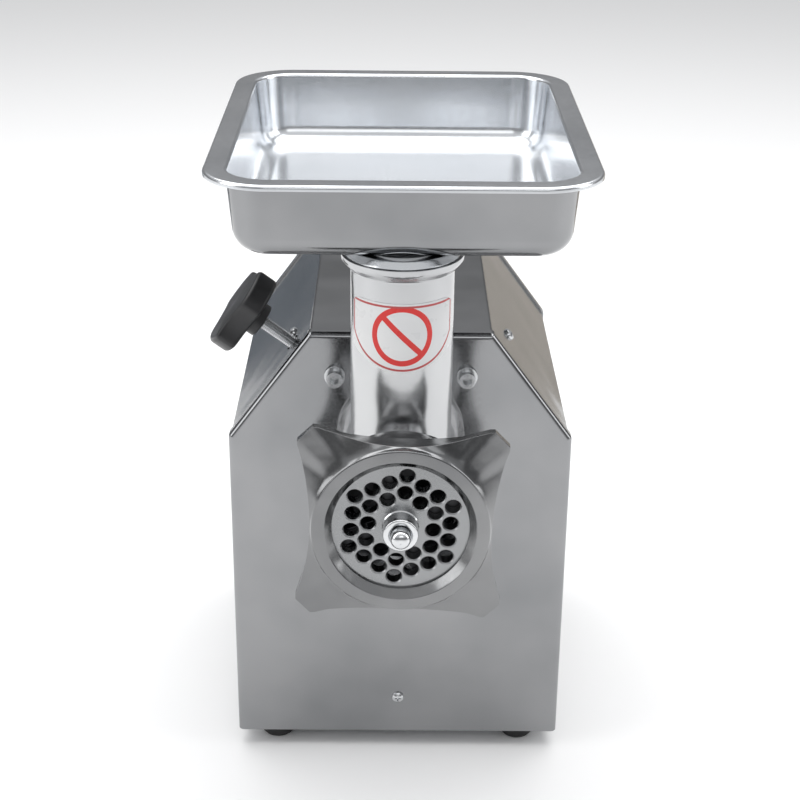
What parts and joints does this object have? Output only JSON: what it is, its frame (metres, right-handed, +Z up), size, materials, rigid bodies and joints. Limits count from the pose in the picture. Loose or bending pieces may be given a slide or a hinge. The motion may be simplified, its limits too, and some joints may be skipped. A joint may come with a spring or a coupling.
{
  "type": "electric meat grinder",
  "caption": "Bench-top electric meat grinder: a polished octagonal casing, a removable grinding head with worm, knife, plate and ring nut, and a feed pan.",
  "frame": {"origin": "on the table under the middle of the four feet, which is the middle of the casing", "axes": "+Z up, -Y the way the grinding head points, +X the user's right when facing the head's plate"},
  "size_m": [0.2235, 0.364, 0.4148],
  "materials": {
    "polished_sheet": "mirror-polished stainless sheet",
    "polished_casting": "polished stainless casting",
    "fasteners": "bright stainless fasteners",
    "plain_sheet": "plain galvanised sheet",
    "ground_steel": "ground tool steel",
    "cast_aluminium": "as-cast aluminium",
    "bearing_steel": "ground bearing steel",
    "gear_steel": "oiled cut steel",
    "laminations": "dark laminated steel",
    "copper_wire": "enamelled copper",
    "bronze": "machined bronze",
    "black_rubber": "matt moulded rubber",
    "black_plastic": "satin moulded plastic",
    "red_plastic": "gloss moulded plastic",
    "capacitor_can": "drawn aluminium can",
    "label_foil": "printed foil"
  },
  "bodies": {
    "casing": {"base_plate": "plain_sheet", "capacitor": "capacitor_can", "capacitor_bracket": "plain_sheet", "cover_screws": "fasteners", "direction_switch_housing": "black_plastic", "foot_front_left": "black_rubber", "foot_front_right": "black_rubber", "foot_rear_left": "black_rubber", "foot_rear_right": "black_rubber", "foot_screws": "fasteners", "front_panel": "polished_sheet", "gearbox_cover": "cast_aluminium", "gearbox_housing": "cast_aluminium", "gearbox_screws": "fasteners", "head_bolt_washers": "fasteners", "head_bolts": "fasteners", "inlet_pins": "bronze", "inlet_screws": "fasteners", "layshaft_bearings": "bearing_steel", "lower_panel_screw": "fasteners", "motor_bearings": "bearing_steel", "motor_cradle": "plain_sheet", "motor_front_bell": "cast_aluminium", "motor_rear_bell": "cast_aluminium", "motor_shell": "cast_aluminium", "output_bearings": "bearing_steel", "output_seal": "black_rubber", "power_inlet": "black_plastic", "power_switch_housing": "black_plastic", "rear_panel": "polished_sheet", "rear_panel_screws": "fasteners", "shoulder_screws": "fasteners", "stator_core": "laminations", "stator_windings": "copper_wire", "wrap_cover": "polished_sheet"},
    "head": {"head_casting": "polished_casting", "rear_bush": "bronze", "plate_key_pin": "fasteners", "neck_label": "label_foil"},
    "worm": {"worm": "ground_steel", "knife": "ground_steel"},
    "output": {"output_shaft": "gear_steel", "output_gear": "gear_steel"},
    "layshaft": {"layshaft": "gear_steel", "layshaft_pinion": "gear_steel", "layshaft_gear": "gear_steel"},
    "rotor": {"rotor_shaft": "gear_steel", "rotor_core": "laminations", "motor_pinion": "gear_steel", "cooling_fan": "black_plastic"},
    "plate": {"cutting_plate": "ground_steel", "plate_hub": "bearing_steel"},
    "nut": {"ring_nut": "polished_casting"},
    "clamp_foot": {"clamp_pad": "fasteners"},
    "clamp": {"clamp_screw": "fasteners", "clamp_knob": "black_plastic"},
    "pan": {"feed_pan": "polished_sheet", "pan_spigot": "polished_sheet"},
    "power_rocker": {"power_rocker": "red_plastic"},
    "direction_rocker": {"direction_rocker": "black_plastic"}
  },
  "joints": [
    {"name": "head_withdraw", "type": "slide", "parent": "casing", "child": "head", "axis": [0, -1, 0], "range_m": [0, 0.06]},
    {"name": "worm_spin", "type": "hinge", "parent": "head", "child": "worm", "pos_m": [0, -0.1125, 0.2278], "axis": [0, -1, 0], "continuous": true},
    {"name": "output_spin", "type": "hinge", "parent": "casing", "child": "output", "pos_m": [0, -0.1125, 0.2278], "axis": [0, -1, 0], "continuous": true},
    {"name": "layshaft_spin", "type": "hinge", "parent": "casing", "child": "layshaft", "pos_m": [0, -0.1125, 0.1648], "axis": [0, -1, 0], "continuous": true},
    {"name": "rotor_spin", "type": "hinge", "parent": "casing", "child": "rotor", "pos_m": [0, -0.1125, 0.1048], "axis": [0, -1, 0], "continuous": true},
    {"name": "plate_slide", "type": "slide", "parent": "head", "child": "plate", "axis": [0, -1, 0], "range_m": [0, 0.018]},
    {"name": "ring_nut_turn", "type": "hinge", "parent": "plate", "child": "nut", "pos_m": [0, -0.1125, 0.2278], "axis": [0, -1, 0], "range_deg": [0, 2160.1]},
    {"name": "clamp_advance", "type": "slide", "parent": "casing", "child": "clamp_foot", "axis": [-0.8057, 0, 0.5924], "range_m": [0, 0.006]},
    {"name": "clamp_turn", "type": "hinge", "parent": "clamp_foot", "child": "clamp", "pos_m": [0, -0.0825, 0.2278], "axis": [-0.8057, 0, 0.5924], "range_deg": [0, 1728.1]},
    {"name": "pan_lift", "type": "slide", "parent": "head", "child": "pan", "axis": [0, 0, 1], "range_m": [0, 0.06]},
    {"name": "power_rocker_tilt", "type": "hinge", "parent": "casing", "child": "power_rocker", "pos_m": [0.101, -0.0675, 0.14], "axis": [0, 1, 0], "range_deg": [0, 20]},
    {"name": "direction_rocker_tilt", "type": "hinge", "parent": "casing", "child": "direction_rocker", "pos_m": [0.101, -0.0405, 0.14], "axis": [0, 1, 0], "range_deg": [-10, 10]}
  ],
  "couplings": [
    {"joint": "output_spin", "follows": "worm_spin", "ratio": 1},
    {"joint": "layshaft_spin", "follows": "worm_spin", "ratio": -3},
    {"joint": "rotor_spin", "follows": "worm_spin", "ratio": 9.8571},
    {"joint": "ring_nut_turn", "follows": "plate_slide", "rad_per_m": 2094.4},
    {"joint": "clamp_turn", "follows": "clamp_advance", "rad_per_m": 5026.5}
  ]
}
